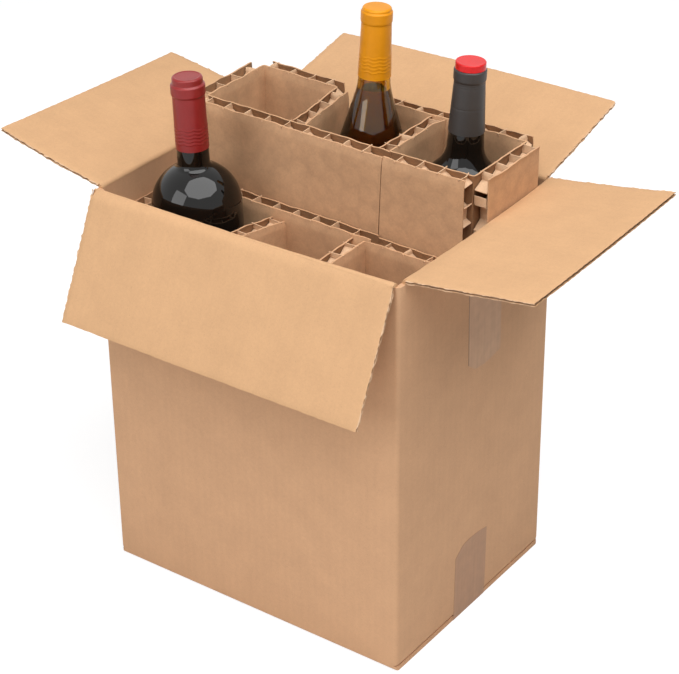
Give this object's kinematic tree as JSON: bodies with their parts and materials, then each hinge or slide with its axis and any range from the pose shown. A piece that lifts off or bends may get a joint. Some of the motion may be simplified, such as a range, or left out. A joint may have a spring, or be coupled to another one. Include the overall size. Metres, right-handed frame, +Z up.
{
  "type": "bottle shipping box",
  "caption": "Open corrugated carton with hinged top flaps, honeycomb board bottle dividers and bottles standing in their cells.",
  "frame": {"origin": "centre of the carton's base, on the surface it stands on", "axes": "+X along the front wall to the right, +Y from the front wall to the back wall, +Z up"},
  "size_m": [0.517, 0.3827, 0.4934],
  "materials": {
    "carton_board": "matte",
    "honeycomb_board": "matte",
    "brown_tape": "gloss",
    "dark_glass": "gloss",
    "green_glass": "gloss",
    "wine": "gloss",
    "cork": "matte",
    "red_foil": "satin",
    "yellow_foil": "satin",
    "black_foil": "satin",
    "red_disc": "gloss"
  },
  "bodies": {
    "carton": {"carton_body": "carton_board", "bottom_tape": "brown_tape", "top_tape_tail": "brown_tape", "front_insert_left": "honeycomb_board", "front_insert_right": "honeycomb_board", "rear_insert_left": "honeycomb_board", "rear_insert_right": "honeycomb_board", "red_bottle": "dark_glass", "red_capsule": "red_foil", "green_bottle_glass": "green_glass", "green_bottle_wine": "wine", "green_bottle_cork": "cork", "yellow_capsule": "yellow_foil", "black_bottle": "dark_glass", "black_capsule": "black_foil", "black_capsule_disc": "red_disc"},
    "front_flap": {"front_flap": "carton_board"},
    "right_flap": {"right_flap": "carton_board"},
    "back_flap": {"back_flap": "carton_board"},
    "left_flap": {"left_flap": "carton_board"}
  },
  "joints": [
    {"name": "front_flap_hinge", "type": "hinge", "parent": "carton", "child": "front_flap", "pos_m": [0, -0.11148, 0.3575], "axis": [1, 0, 0], "range_deg": [-154.9, 15.1]},
    {"name": "right_flap_hinge", "type": "hinge", "parent": "carton", "child": "right_flap", "pos_m": [0.148, 0, 0.3575], "axis": [0, 1, 0], "range_deg": [-82.6, 87.4]},
    {"name": "back_flap_hinge", "type": "hinge", "parent": "carton", "child": "back_flap", "pos_m": [0, 0.11148, 0.3575], "axis": [-1, 0, 0], "range_deg": [-77.5, 92.5]},
    {"name": "left_flap_hinge", "type": "hinge", "parent": "carton", "child": "left_flap", "pos_m": [-0.148, 0, 0.3575], "axis": [0, -1, 0], "range_deg": [-82.6, 87.4]}
  ]
}
